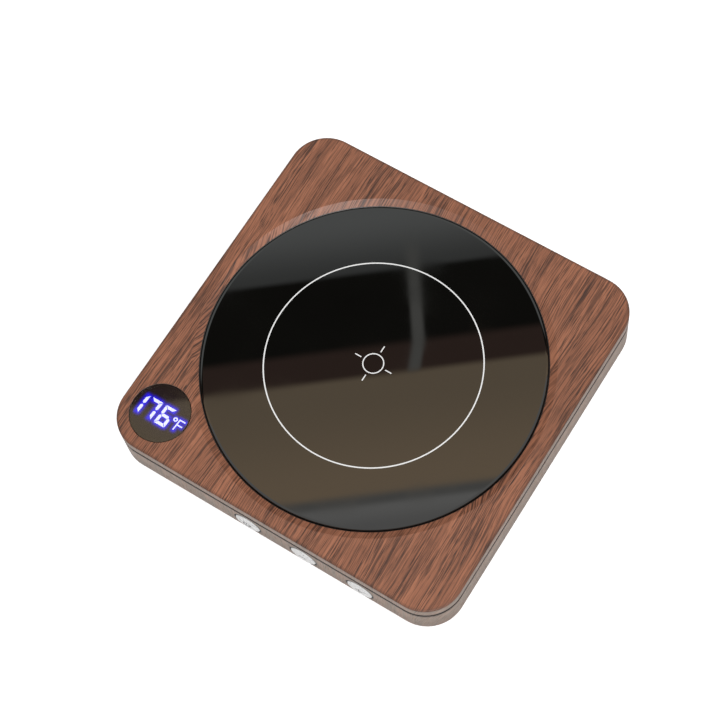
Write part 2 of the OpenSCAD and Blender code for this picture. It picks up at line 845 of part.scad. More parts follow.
// ---------- display ----------

module display_window() {
    color(BLACK) at_window() rod(window_d / 2 - window_gap, window_z, window_z + window_t);
}

// Upright strokes: b fills the upper right, and the others are its mirror images
function tall_stroke(side, up) =
    let (w = digit_w / 2, h = digit_h / 2, s = stroke, g = stroke_gap)
    [for (p = [[w, h - g], [w, s / 2 + g], [w - s / 2, g], [w - s, s / 2 + g], [w - s, h - s - g]])
        [side * p[0], up * p[1]]];

// Level strokes at the top and bottom of a digit
function end_stroke(up) =
    let (w = digit_w / 2, h = digit_h / 2, s = stroke, g = stroke_gap)
    [for (p = [[g - w, h], [w - g, h], [w - s - g, h - s], [s + g - w, h - s]]) [p[0], up * p[1]]];

function middle_stroke() =
    let (w = digit_w / 2, s = stroke, g = stroke_gap)
    [[s / 2 + g - w, 0], [s + g - w, s / 2], [w - s - g, s / 2],
        [w - s / 2 - g, 0], [w - s - g, -s / 2], [s + g - w, -s / 2]];

function stroke_points(name) =
    name == "a" ? end_stroke(1) :
    name == "b" ? tall_stroke(1, 1) :
    name == "c" ? tall_stroke(1, -1) :
    name == "d" ? end_stroke(-1) :
    name == "e" ? tall_stroke(-1, -1) :
    name == "f" ? tall_stroke(-1, 1) : middle_stroke();

function leaning(points) = [for (p = points) [p[0] + p[1] * tan(digit_lean), p[1]]];

module digit(names, x) {
    translate([x, digits_y]) for (name = names) polygon(leaning(stroke_points(name)));
}

// Degree ring, and the letter as a stem with two bars; y runs down from the letter's top
module unit_sign() {
    translate([degree_x, degree_y + digits_y]) difference() {
        circle(d = degree_d);
        circle(d = degree_d - 2 * unit_stroke);
    }
    translate([unit_x, unit_y + digits_y]) {
        unit_bar([0, unit_stroke], [-unit_h, 0]);
        unit_bar([0, unit_w], [-unit_stroke, 0]);
        unit_bar([0, unit_w], [-(unit_h + unit_stroke) / 2, (unit_stroke - unit_h) / 2]);
    }
}

module unit_bar(x, y) {
    polygon(leaning([[x[0], y[0]], [x[1], y[0]], [x[1], y[1]], [x[0], y[1]]]));
}

module lit_digits() {
    digit(FIRST_LIT, first_x);
    digit(MIDDLE_LIT, middle_x);
    digit(LAST_LIT, last_x);
}

module dark_digits() {
    digit(MIDDLE_DARK, middle_x);
    digit(LAST_DARK, last_x);
}

// Block with a light well under each stroke, cut away where it would meet the walls
module display_reflector() {
    color("#0e0e0e") difference() {
        intersection() {
            at_window() rod(reflector_r, reflector_z, window_z);
            slab(wall_t + reflector_gap, reflector_z, window_z);
        }
        at_window() {
            translate([0, 0, reflector_z - over]) linear_extrude(reflector_h + 2 * over) {
                lit_digits();
                dark_digits();
            }
            translate([0, 0, guide_z]) linear_extrude(guide_h + over) unit_sign();
            for (place = UNIT_LIGHTS) translate(place) rod(unit_light_r, reflector_z - over, guide_z);
        }
    }
}

module lit_segments() {
    color("#e8ecff") at_window() translate([0, 0, guide_z]) linear_extrude(guide_h) {
        lit_digits();
        unit_sign();
    }
}

module dark_segments() {
    color("#20222a") at_window() translate([0, 0, guide_z]) linear_extrude(guide_h) dark_digits();
}

// Light-emitting chips, one in the middle of each stroke's well
module display_leds() {
    chip = [0.6, 0.3, 0.3];
    middle_of_tall = [(digit_w - stroke) / 2, digit_h / 4];
    color("#f2e9b0") at_window() {
        for (x = [first_x, middle_x, last_x], up = [-1, 1])
            translate([x + middle_of_tall[0], digits_y + up * middle_of_tall[1], 0])
                box(chip, reflector_z);
        for (x = [middle_x, last_x], up = [-1, 1])
            translate([x - middle_of_tall[0], digits_y + up * middle_of_tall[1], 0])
                box(chip, reflector_z);
        for (x = [middle_x, last_x], up = [-1, 0, 1])
            translate([x, digits_y + up * (digit_h - stroke) / 2, 0]) box(chip, reflector_z);
        for (place = UNIT_LIGHTS) translate(place) box(chip, reflector_z);
    }
}

module display_board() {
    color(BOARD) difference() {
        union() {
            intersection() {
                at_window() rod(reflector_r + display_board_rim, display_board_z, reflector_z);
                slab(wall_t + 2 * reflector_gap, display_board_z, reflector_z);
            }
            at_window() rotate(-45)
                box([2 * display_screw_reach, 2 * ear_r, display_board_t], display_board_z);
            at_display_screws() rod(ear_r, display_board_z, reflector_z);
        }
        at_display_screws()
            rod(small_screw_d / 2 + screw_gap, display_board_z - over, reflector_z + over);
    }
}

module display_screws() {
    color(STEEL) at_display_screws() translate([0, 0, display_board_z])
        screw(small_head, small_screw_d, display_board_t + small_grip);
}

module display_leads() {
    x = window_x + display_lead_start[0];
    y = window_y + display_lead_start[1];
    color("#d8d8d8") ribbon([
        [x, y, display_board_z], [x, y, display_board_z - display_lead_drop],
        [x + wire_pitch, y + display_lead_drop, wire_floor],
        [display_plug[0], board_front - 4 * plug_run, wire_floor],
        [display_plug[0], board_front - plug_run, lead_z], [display_plug[0], plug_y - plug_d / 2, lead_z]
    ], 5);
}

// ---------- buttons ----------

// Domed cap with a flange behind the wall, flat above and below, on a stem that runs into the cap
module button_cap(x) {
    dome_r = (pow(button_r, 2) + pow(button_crown, 2)) / (2 * button_crown);
    color("#e9eaec") at_button(x) {
        rotate_extrude() intersection() {
            translate([0, -flange_in]) square([button_r, flange_in + button_proud]);
            translate([0, button_proud - dome_r]) circle(dome_r, $fn = 360);
        }
        intersection() {
            rod(flange_d / 2, -stem_in, -flange_in);
            cube([flange_d, 2 * (button_z - floor_z - flange_gap), 2 * stem_in], center = true);
        }
        rod(plunger_d / 2, -plunger_tip, 0);
    }
}

module left_button() { button_cap(left_x); }
module middle_button() { button_cap(button_x); }
module right_button() { button_cap(right_x); }

module plunger(x) {
    color("#2a2a2a") at_button(x) rod(plunger_d / 2, -switch_in - plunger_in, -plunger_tip);
}

module left_plunger() { plunger(left_x); }
module middle_plunger() { plunger(button_x); }
module right_plunger() { plunger(right_x); }

module switch_housings() {
    well = plunger_in + button_travel + plunger_gap;
    color("#3c3c3c") for (x = BUTTON_PLACES) at_button(x) difference() {
        box([switch_w, switch_w, switch_l], -button_board_in);
        rod(plunger_d / 2 + plunger_gap, -switch_in - well, -switch_in + over);
    }
}

module button_board() {
    color(BOARD) translate([button_x, -body_d / 2 + button_board_in + board_t / 2, 0])
        box([button_board_w, board_t, button_board_h], floor_z);
}

module button_plug() {
    plug_y = -body_d / 2 + button_board_in + board_t + button_plug_size[1] / 2;
    color("#efefe6") translate([button_x, plug_y, 0]) box(button_plug_size, floor_z + rail_grip);
}

module button_leads() {
    y = -body_d / 2 + button_board_in + board_t + button_plug_size[1];
    color("#d8d8d8") ribbon([
        [button_x, y, button_z], [button_x, y + button_lead_run, button_z],
        [button_x, y + button_lead_run + button_lead_drop, wire_floor],
        [button_socket[0], board_front - 4 * plug_run, wire_floor],
        [button_socket[0], board_front - plug_run, lead_z],
        [button_socket[0], plug_y - plug_d / 2, lead_z]
    ], 4);
}

// ---------- main board ----------

module main_board() {
    color(BOARD) translate([0, board_y, 0]) difference() {
        box([board_w, board_d, board_t], board_z);
        at_corners(board_screw_x, board_screw_y)
            rod(small_screw_d / 2 + screw_gap, board_z - over, board_top + over);
    }
}

module board_screws() {
    color(STEEL) translate([0, board_y, 0]) at_corners(board_screw_x, board_screw_y)
        translate([0, 0, board_top]) mirror([0, 0, 1])
            screw(small_head, small_screw_d, board_t + small_grip);
}

module board_plugs() {
    color("#efefe6") {
        for (plug = [display_plug, fuse_plug, sensor_plug, button_socket])
            translate([plug[0], plug_y, 0]) box([plug[1], plug_d, plug_h], board_top);
        translate([0, heater_plug_y, 0]) box([heater_plug_w, plug_d, plug_h], board_top);
    }
}

module controller_chip() {
    color("#222222") translate(chip_place) box(chip_size, board_top);
}

module power_transistor() {
    color("#2a2a2a") translate(transistor_place) box(transistor_size, board_top);
    color(STEEL) translate(transistor_place)
        translate([0, (transistor_size[1] + transistor_tab[1]) / 2, 0]) box(transistor_tab, board_top);
}

module capacitors() {
    color("#b0b3b8") for (place = CAPACITOR_PLACES)
        translate(place) rod(capacitor_d / 2, board_top, board_top + capacitor_h);
}

module choke() {
    color("#3d3f44") translate(choke_place) box([choke_w, choke_w, choke_h], board_top);
}

// ---------- power inlet ----------

module inlet_housing() {
    color(BLACK) difference() {
        union() {
            translate([0, inlet_face_y - inlet_l / 2, 0])
                box([inlet_w, inlet_l, inlet_h], inlet_z - inlet_h / 2);
            along_inlet(inlet_face_y) rod(nose_d / 2, -over, nose_y - inlet_face_y);
        }
        along_inlet(nose_y) rod(inlet_bore_d / 2, -inlet_bore_l, over);
        along_inlet(bore_end_y) rod(pin_root_r, -pin_root, over);
        along_inlet(inlet_back_y) rod(contact_w / 2, -over, bore_end_y - pin_root - inlet_back_y + over);
        contact_strip();
    }
}

module inlet_pin() {
    root_y = bore_end_y - pin_root / 2;
    color(STEEL) {
        along_inlet(bore_end_y) {
            rod(pin_root_r, -pin_root, pin_lift);
            rod(pin_d / 2, pin_lift, inlet_bore_l - pin_drop);
        }
        translate([0, (root_y + terminal_y) / 2, 0])
            box([contact_w - contact_t, root_y - terminal_y, contact_t], inlet_z - contact_t / 2);
    }
}

// Spring strip along the top of the bore, run back through the housing to its terminal
module contact_strip() {
    tip_y = nose_y - contact_drop;
    translate([0, (tip_y + terminal_y) / 2, 0]) box([contact_w, tip_y - terminal_y, contact_t], strip_z);
}

module inlet_contact() {
    color("#c9a94f") contact_strip();
}

module inlet_leads() {
    live_z = strip_z + contact_t / 2;
    color("#c23b2e") wire([
        [0, terminal_y, live_z], [0, terminal_y - power_wire_d, live_z],
        [inlet_pad_x, inlet_pad_y, board_top + live_lead_rise],
        [inlet_pad_x, inlet_pad_y, board_top]
    ], power_wire_r);
    color("#222222") wire([
        [0, terminal_y, inlet_z], [0, terminal_y - power_wire_d, inlet_z],
        [-inlet_pad_x, inlet_pad_y, board_top + return_lead_rise],
        [-inlet_pad_x, inlet_pad_y, board_top]
    ], power_wire_r);
}

// ---------- fasteners, feet and underside ----------

module case_screws() {
    color(STEEL) at_corners(case_screw_x, case_screw_y) translate([0, 0, case_seat_z])
        screw(case_head, case_screw_d, post_top + case_grip - case_seat_z);
}

module feet() {
    color("#2e2e2e") at_corners(foot_x, foot_y)
        rotate_extrude() edge_profile(foot_d / 2, foot_h + foot_pocket, foot_edge_r);
}

module blank_plate() {
    color("#8d8f92") translate([0, -label_front, 0])
        box([label_w - 2 * label_gap, label_d - 2 * label_gap, label_t], case_z);
}

top_cover();
bottom_case();
glass_plate();
plate_seal();
heat_spreader();
film_heater();
mica_sheet();
felt_pad();
heater_clamp();
clamp_screws();
temperature_sensor();
thermal_fuse();
heater_leads();
sensor_leads();
fuse_leads();
display_window();
display_reflector();
lit_segments();
dark_segments();
display_leds();
display_board();
display_screws();
display_leads();
left_button();
middle_button();
right_button();
left_plunger();
middle_plunger();
right_plunger();
switch_housings();
button_board();
button_plug();
button_leads();
main_board();
board_screws();
board_plugs();
controller_chip();
power_transistor();
capacitors();
choke();
inlet_housing();
inlet_pin();
inlet_contact();
inlet_leads();
case_screws();
feet();
blank_plate();
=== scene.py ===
import math

import bmesh
import bpy
from mathutils import Matrix, Vector


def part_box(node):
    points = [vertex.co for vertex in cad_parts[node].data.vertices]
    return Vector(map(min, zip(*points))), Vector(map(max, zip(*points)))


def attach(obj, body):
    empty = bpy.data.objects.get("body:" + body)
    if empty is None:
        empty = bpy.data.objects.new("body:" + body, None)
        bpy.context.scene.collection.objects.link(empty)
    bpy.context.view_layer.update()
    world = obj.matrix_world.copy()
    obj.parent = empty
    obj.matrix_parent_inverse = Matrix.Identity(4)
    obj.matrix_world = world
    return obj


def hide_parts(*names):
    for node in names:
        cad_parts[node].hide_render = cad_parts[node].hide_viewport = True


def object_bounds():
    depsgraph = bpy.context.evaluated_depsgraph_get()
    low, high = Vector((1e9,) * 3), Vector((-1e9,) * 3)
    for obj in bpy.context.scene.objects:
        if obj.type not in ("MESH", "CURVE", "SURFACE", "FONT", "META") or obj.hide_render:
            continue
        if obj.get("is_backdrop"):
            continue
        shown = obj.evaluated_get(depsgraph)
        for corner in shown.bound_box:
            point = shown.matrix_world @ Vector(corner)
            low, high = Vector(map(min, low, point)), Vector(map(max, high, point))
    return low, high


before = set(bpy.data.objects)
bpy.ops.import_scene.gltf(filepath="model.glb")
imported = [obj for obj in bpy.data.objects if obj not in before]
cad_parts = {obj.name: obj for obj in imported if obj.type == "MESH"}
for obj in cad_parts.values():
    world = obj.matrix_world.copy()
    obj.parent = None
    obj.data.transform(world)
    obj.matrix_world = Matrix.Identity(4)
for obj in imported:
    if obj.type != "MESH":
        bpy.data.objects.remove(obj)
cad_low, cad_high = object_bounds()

# ---------- cover and case ----------
# Two injection-moulded plastic shells that meet at a shadow gap and are screwed together.
# Both carry a walnut print under a satin clear coat. Its grain runs from the buttons to the
# power inlet and turns down over the sides.

MM = 0.001


class Shade:
    """A socket in a material. Operators on it add Math nodes, and its methods add the others."""

    def __init__(self, tree, socket):
        self.tree = tree
        self.socket = socket

    def node(self, kind, settings, inputs, output=0):
        """One output of a new node, whose settings are set first and its inputs after."""
        made = self.tree.nodes.new(kind)
        for name, value in settings.items():
            setattr(made, name, value)
        for name, value in inputs.items():
            if isinstance(value, Shade):
                self.tree.links.new(value.socket, made.inputs[name])
            else:
                made.inputs[name].default_value = value
        return Shade(self.tree, made.outputs[output])

    def maths(self, operation, other=0.0):
        return self.node("ShaderNodeMath", {"operation": operation}, {0: self, 1: other})

    def __add__(self, other):
        return self.maths("ADD", other)

    def __sub__(self, other):
        return self.maths("SUBTRACT", other)

    def __mul__(self, other):
        return self.maths("MULTIPLY", other)

    def __truediv__(self, other):
        return self.maths("DIVIDE", other)

    def __rsub__(self, other):
        return self * -1 + other

    __radd__ = __add__
    __rmul__ = __mul__

    def __abs__(self):
        return self.maths("ABSOLUTE")

    def parts(self):
        """The X, Y and Z of a vector."""
        return [self.node("ShaderNodeSeparateXYZ", {}, {0: self}, axis) for axis in range(3)]

    def joined(self, second, third=0.0):
        """A vector of this value and two more."""
        return self.node("ShaderNodeCombineXYZ", {}, {0: self, 1: second, 2: third})

    def rise(self, low, high):
        """0 below low, 1 above high, and a smooth rise between them."""
        return self.node("ShaderNodeMapRange", {"interpolation_type": "SMOOTHSTEP"},
                         {"Value": self, "From Min": low, "From Max": high})

    def noise(self, scale=1.0, detail=2.0, roughness=0.5):
        return self.node("ShaderNodeTexNoise", {},
                         {"Vector": self, "Scale": scale, "Detail": detail, "Roughness": roughness})

    def blend(self, first, second):
        """The colour that goes from first to second as this value goes from 0 to 1."""
        return self.node("ShaderNodeMix", {"data_type": "RGBA"}, {0: self, 6: first, 7: second}, 2)

    def length(self):
        return self.node("ShaderNodeVectorMath", {"operation": "LENGTH"}, {0: self}, 1)

    def bump(self, depth):
        """A normal for a surface that this value raises by up to depth metres."""
        return self.node("ShaderNodeBump", {}, {"Height": self, "Distance": depth})


def rgb(red, green, blue):
    """Linear colour from three screen values between 0 and 255."""
    def linear(value):
        share = value / 255
        return share / 12.92 if share <= 0.04045 else ((share + 0.055) / 1.055) ** 2.4
    return (linear(red), linear(green), linear(blue), 1.0)


def smallest(values):
    least = values[0]
    for value in values[1:]:
        least = least.maths("MINIMUM", value)
    return least


def new_finish(name):
    """A material, with the object's own coordinates for its nodes."""
    made = bpy.data.materials.new(name)
    made.use_nodes = True
    coordinates = made.node_tree.nodes.new("ShaderNodeTexCoord")
    return made, Shade(made.node_tree, coordinates.outputs["Object"])


def apply_finish(made, inputs):
    """Sets or links the inputs of the material's surface shader."""
    shader = made.node_tree.nodes["Principled BSDF"]
    for name, value in inputs.items():
        if isinstance(value, Shade):
            made.node_tree.links.new(value.socket, shader.inputs[name])
        else:
            shader.inputs[name].default_value = value


def dress(finish, *nodes):
    """Gives CAD nodes their finish."""
    for name in nodes:
        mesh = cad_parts[name].data
        mesh.materials.clear()
        mesh.materials.append(finish)


CORNER_RADIUS = 12 * MM
DISH_DEPTH = 1.1 * MM
# Painted shade lies round the glass and round each button out to these radii.
GLASS_SHADE_RADIUS = 53.6 * MM
BUTTON_SHADE_RADIUS = 4.88 * MM
FOOT_TOP = 4.5 * MM
FOOT_SLOPE = 1.1
SEAM_MIDDLE = 15.1 * MM
SEAM_SHADE = 2.0 * MM
EDGE_SHADE = 1.1 * MM

walnut, place = new_finish("walnut_print")
normal = place.node("ShaderNodeTexCoord", {}, {}, "Normal")
x, y, z = place.parts()
drop = cad_high[2] - z

# Distance in from the outer wall, and how far in the rounding at the wall's foot may reach.
beyond_x = abs(x) - (cad_high[0] - CORNER_RADIUS)
beyond_y = abs(y) - (cad_high[0] - CORNER_RADIUS)
corner_x = beyond_x.maths("MAXIMUM", 0.0)
corner_y = beyond_y.maths("MAXIMUM", 0.0)
from_corner = corner_x.joined(corner_y).length()
inset = CORNER_RADIUS - from_corner - beyond_x.maths("MAXIMUM", beyond_y).maths("MINIMUM", 0.0)
wrap = (cad_low[2] + FOOT_TOP - z).maths("MAXIMUM", 0.0) * FOOT_SLOPE

# Millimetres across and along the grain, as if the walls were folded out flat.
unfold = drop / from_corner.maths("MAXIMUM", 0.1 * MM)
across = (x + x.maths("SIGN") * corner_x * unfold) / MM
along = (y + y.maths("SIGN") * corner_y * unfold) / MM
drift = (across * 0.028).joined(along * 0.014).noise(detail=1.0) - 0.5
ripple = (across * 0.12).joined(along * 0.04).noise(detail=1.0) - 0.5
grain = across + drift * 7 + ripple * 1.2

# The layers of the print, from broad patches of tone to the finest fibres and pores.
patches = (grain * 0.26).joined(along * 0.020).noise(detail=2.0).rise(0.34, 0.66)
figure = (grain * 0.30).joined(along * 0.025, 2.0).noise(detail=2.0).rise(0.38, 0.62)
streaks = (grain * 1.9).joined(along * 0.030, 9.0).noise(detail=2.0, roughness=0.6).rise(0.48, 0.66)
fibres = (grain * 2.6).joined(along * 0.05, 5.0).noise(detail=2.0, roughness=0.6).rise(0.47, 0.58)
pores = (grain * 3.8).joined(along * 0.24, 3.0).noise(detail=1.0).rise(0.48, 0.66)
contour = (grain * 0.50).joined(along * 0.012, 4.0).noise(detail=3.0, roughness=0.6)
veins = (1 - abs(contour - 0.5).rise(0.004, 0.024)) * (0.4 + pores * 0.6)
heartwood = patches.blend(rgb(149, 95, 69), rgb(171, 111, 82))
streaked = (streaks * (0.12 + figure * 0.22)).blend(heartwood, rgb(92, 58, 44))
lined = (fibres * (0.48 + figure * 0.36)).blend(streaked, rgb(48, 25, 17))
veined = (veins * 0.9).blend(lined, rgb(36, 21, 16))
print_colour = (pores * (0.18 + figure * 0.28)).blend(veined, rgb(38, 20, 14))

# The pale sheen on the walls at a glancing view is a painted reflection of the floor, and painted
# shade darkens the print along the top edge, at the seam and towards the foot.
grazing = place.node("ShaderNodeLayerWeight", {}, {}, "Facing").rise(0.25, 0.6)
painted_wall_sheen = (1 - normal.parts()[2].rise(0.2, 0.8)) * grazing * (0.52 - pores * 0.14)
print_with_painted_sheen = painted_wall_sheen.blend(print_colour, rgb(176, 166, 150))
edge = 1 - (drop * 0.6).maths("MAXIMUM", inset).rise(0.2 * MM, EDGE_SHADE)
seam = 1 - abs(z - SEAM_MIDDLE).rise(0.4 * MM, SEAM_SHADE)
foot = drop.rise(7 * MM, 14 * MM)
painted_shade = (edge * 0.40).maths("MAXIMUM", seam * 0.8).maths("MAXIMUM", foot * 0.24)
print_with_painted_shade = painted_shade.blend(print_with_painted_sheen, rgb(34, 20, 14))

# The print stops at the seam, round each button and round the glass a little past its opening, and
# the bare plastic there is painted near-black as painted shade in the gaps. Away from the front
# wall, the distance behind it keeps the buttons from cutting into the print.
from_buttons = []
for side in ("left", "middle", "right"):
    low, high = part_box(f"{side}_button")
    button_x = (low[0] + high[0]) / 2
    button_z = (low[2] + high[2]) / 2
    from_buttons.append((x - button_x).joined(z - button_z).length())
behind_front = (y + cad_high[0]) * 3
cut_out = smallest(from_buttons).maths("MAXIMUM", behind_front)
beyond_button_shade = cut_out.rise(BUTTON_SHADE_RADIUS, BUTTON_SHADE_RADIUS + 0.08 * MM)
outer_wall = (1 - (inset - wrap).rise(0.03 * MM, 0.05 * MM)) * beyond_button_shade
top_face = 1 - drop.rise(DISH_DEPTH - 0.02 * MM, DISH_DEPTH + 0.02 * MM)
beyond_glass_shade = x.joined(y).length().rise(GLASS_SHADE_RADIUS - 0.03 * MM, GLASS_SHADE_RADIUS)
printed = outer_wall.maths("MAXIMUM", top_face * beyond_glass_shade)
apply_finish(walnut, {
    "Base Color": printed.blend(rgb(22, 17, 15), print_with_painted_shade),
    "Roughness": 0.36 + pores * 0.12,
    "Normal": (printed * (1 - pores)).bump(0.004 * MM),
    "IOR": 1.42,
})
dress(walnut, "top_cover", "bottom_case")

# ---------- hot plate ----------
# Black tempered glass, ground down a little all round to a polished edge and a narrow bevel,
# on a silicone seal in the cover. A thin ring and a centring mark are fired on in white enamel.

POLISHED_WIDTH = 0.7 * MM
POLISHED_FALL = 0.10 * MM
BEVEL_WIDTH = 0.2 * MM
BEVEL_FALL = 0.25 * MM
FLAT_MARGIN = 0.1 * MM
ENAMEL = 0.015 * MM
RING_RADIUS = 33.66 * MM
RING_WIDTH = 0.40 * MM
MARK_RADIUS = 3.2 * MM
MARK_LINE = 0.35 * MM
TICK_LENGTH = 2.2 * MM
TICK_MIDDLE = 5.4 * MM


def new_piece(name, body, finish, mesh_data):
    """A smooth-shaded object from bmesh data that rides on a CAD body."""
    bmesh.ops.recalc_face_normals(mesh_data, faces=mesh_data.faces)
    mesh = bpy.data.meshes.new(name)
    mesh_data.to_mesh(mesh)
    mesh_data.free()
    mesh.shade_smooth()
    mesh.set_sharp_from_angle(angle=math.radians(32))
    mesh.materials.append(finish)
    piece = bpy.data.objects.new(name, mesh)
    bpy.context.scene.collection.objects.link(piece)
    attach(piece, body)
    return piece


def turn(profile, segments):
    """Bmesh of a closed profile of (radius, height) points turned about Z."""
    mesh_data = bmesh.new()
    rings = []
    for radius, height in profile:
        angles = [2 * math.pi * step / segments for step in range(segments if radius else 1)]
        rings.append([mesh_data.verts.new((radius * math.cos(a), radius * math.sin(a), height))
                      for a in angles])
    for lower, upper in zip(rings, rings[1:] + rings[:1]):
        if len(lower) == len(upper) == 1:
            continue
        for step in range(segments):
            after = (step + 1) % segments
            corners = [lower[step % len(lower)], lower[after % len(lower)],
                       upper[after % len(upper)], upper[step % len(upper)]]
            mesh_data.faces.new(list(dict.fromkeys(corners)))
    return mesh_data


def move(mesh_data, offset):
    bmesh.ops.translate(mesh_data, verts=mesh_data.verts, vec=offset)
    return mesh_data


black_glass, place = new_finish("black_glass")
smears = place.noise(scale=45.0, detail=3.0)
apply_finish(black_glass, {
    "Base Color": smears.blend(rgb(4, 4, 4), rgb(8, 8, 7)),
    "Roughness": 0.01 + smears.rise(0.4, 0.8) * 0.03,
    "IOR": 1.52,
})
glass_low, glass_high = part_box("glass_plate")
glass_radius = glass_high[0]
glass_top = glass_high[2]
flat_radius = glass_radius - POLISHED_WIDTH
glass_profile = [
    (0, glass_low[2]),
    (glass_radius, glass_low[2]),
    (glass_radius, glass_top - POLISHED_FALL - BEVEL_FALL),
    (glass_radius - BEVEL_WIDTH, glass_top - POLISHED_FALL),
    (flat_radius, glass_top),
    (flat_radius - FLAT_MARGIN, glass_top),
    (0, glass_top),
]
glass = new_piece("glass_hot_plate", "housing", black_glass,
                  turn(glass_profile, segments=256))
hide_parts("glass_plate")

white_enamel, place = new_finish("white_enamel")
speckle = place.noise(scale=2500.0)
apply_finish(white_enamel, {
    "Base Color": speckle.blend(rgb(240, 240, 238), rgb(252, 252, 250)),
    "Roughness": 0.35 + speckle * 0.15,
    "Normal": speckle.bump(0.004 * MM),
})


def enamel_ring(radius, width, segments):
    inner, outer = radius - width / 2, radius + width / 2
    return turn([(inner, glass_top), (outer, glass_top),
                 (outer, glass_top + ENAMEL), (inner, glass_top + ENAMEL)], segments)


def block(mesh_data, size, middle, turned=0.0):
    """Adds a block to a bmesh, turned about Z by an angle and then moved to its middle."""
    turning = Matrix.Rotation(turned, 4, "Z")
    placing = Matrix.Translation(middle) @ turning @ Matrix.Diagonal((*size, 1))
    bmesh.ops.create_cube(mesh_data, size=1.0, matrix=placing)


new_piece("printed_ring", "housing", white_enamel,
          enamel_ring(RING_RADIUS, RING_WIDTH, 256))
centring_mark = enamel_ring(MARK_RADIUS, MARK_LINE, 96)
for quarter in range(4):
    angle = math.pi / 2 * quarter
    middle = (TICK_MIDDLE * math.cos(angle), TICK_MIDDLE * math.sin(angle), glass_top + ENAMEL / 2)
    block(centring_mark, (TICK_LENGTH, MARK_LINE, ENAMEL), middle, angle)
new_piece("centring_mark", "housing", white_enamel, centring_mark)


def plain_finish(name, first, second, roughness, fineness, relief=0.0, **fixed):
    """Moulded, cast or rolled stock: two near colours, uneven gloss and a fine surface relief."""
    made, place = new_finish(name)
    mottle = place.noise(scale=fineness, detail=3.0)
    flow = place.noise(scale=fineness / 12, detail=2.0)
    inputs = {
        "Base Color": (mottle * 0.5 + flow * 0.5).rise(0.3, 0.7).blend(first, second),
        "Roughness": roughness + mottle * 0.12,
    }
    if relief:
        inputs["Normal"] = mottle.bump(relief)
    inputs.update({key.replace("_", " "): value for key, value in fixed.items()})
    apply_finish(made, inputs)
    return made


rubber = plain_finish("dark_rubber", rgb(38, 38, 38), rgb(52, 52, 51), 0.65, 1400.0, 0.02 * MM)
dress(rubber, "plate_seal", "feet")

# ---------- heater stack ----------
# Under the glass: a rolled aluminium spreader, a film heater, a mica sheet and a felt pad,
# pressed up by a zinc-plated steel clamp on four screws.

aluminium = plain_finish("rolled_aluminium", rgb(196, 198, 202), rgb(220, 221, 224), 0.25, 700.0,
                         0.005 * MM, Metallic=1.0)
dress(aluminium, "heat_spreader", "capacitors")
heater_film = plain_finish("heater_film", rgb(196, 120, 42), rgb(222, 146, 60), 0.3, 500.0)
dress(heater_film, "film_heater")
mica = plain_finish("mica", rgb(176, 156, 104), rgb(206, 190, 140), 0.3, 420.0, 0.01 * MM)
dress(mica, "mica_sheet")
felt = plain_finish("felt", rgb(206, 202, 192), rgb(232, 229, 221), 0.85, 2600.0, 0.08 * MM)
dress(felt, "felt_pad")
plated_steel = plain_finish("plated_steel", rgb(176, 178, 182), rgb(208, 210, 214), 0.28, 900.0,
                            0.006 * MM, Metallic=1.0)
dress(plated_steel, "heater_clamp", "clamp_screws", "display_screws", "board_screws", "case_screws")

# ---------- sensor, fuse and leads ----------
# A dipped bead sensor and a glazed thermal fuse sit in the felt. Their wires and the others
# have silicone or plain insulation.

bead = plain_finish("dipped_bead", rgb(30, 30, 31), rgb(44, 44, 46), 0.25, 900.0)
dress(bead, "temperature_sensor")
glazed_ceramic = plain_finish("glazed_ceramic", rgb(224, 220, 208), rgb(238, 235, 226), 0.2, 800.0)
dress(glazed_ceramic, "thermal_fuse")
red_insulation = plain_finish("red_insulation", rgb(176, 40, 32), rgb(198, 54, 44), 0.45, 1500.0)
dress(red_insulation, "heater_leads", "fuse_leads", "inlet_leads")
grey_insulation = plain_finish("grey_insulation", rgb(196, 196, 196), rgb(216, 216, 215), 0.45,
                               1500.0)
dress(grey_insulation, "sensor_leads", "display_leads", "button_leads")

# ---------- display ----------
# A smoked acrylic lens, pressed flush into the cover, over a black reflector block. Light
# guides carry the chips' light up to the lens, and some of it bleeds into the plastic.

black_plastic = plain_finish("black_plastic", rgb(17, 17, 18), rgb(25, 25, 26), 0.4, 1600.0,
                             0.01 * MM)
dress(black_plastic, "left_plunger", "middle_plunger", "right_plunger", "switch_housings",
      "inlet_housing")

lens_low, lens_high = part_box("display_window")
lens_x = (lens_low[0] + lens_high[0]) / 2
lens_y = (lens_low[1] + lens_high[1]) / 2
lens_radius = (lens_high[0] - lens_low[0]) / 2
LENS_GAP = 0.05 * MM
LENS_EDGE = 0.12 * MM
lens_foot = lens_low[2] + LENS_GAP
smoked_acrylic, place = new_finish("smoked_acrylic")
haze = place.noise(scale=300.0, detail=3.0)
apply_finish(smoked_acrylic, {
    "Base Color": haze.blend(rgb(6, 6, 7), rgb(10, 10, 11)),
    "Roughness": 0.02 + haze.rise(0.4, 0.8) * 0.02,
    "IOR": 1.66,
    "Alpha": 0.66 + haze * 0.04,
})
lens_profile = [
    (0, lens_foot),
    (lens_radius, lens_foot),
    (lens_radius, lens_high[2] - LENS_EDGE),
    (lens_radius - LENS_EDGE, lens_high[2]),
    (0, lens_high[2]),
]
lens = new_piece("display_lens", "housing", smoked_acrylic,
                 move(turn(lens_profile, segments=128), (lens_x, lens_y, 0)))
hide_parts("display_window")

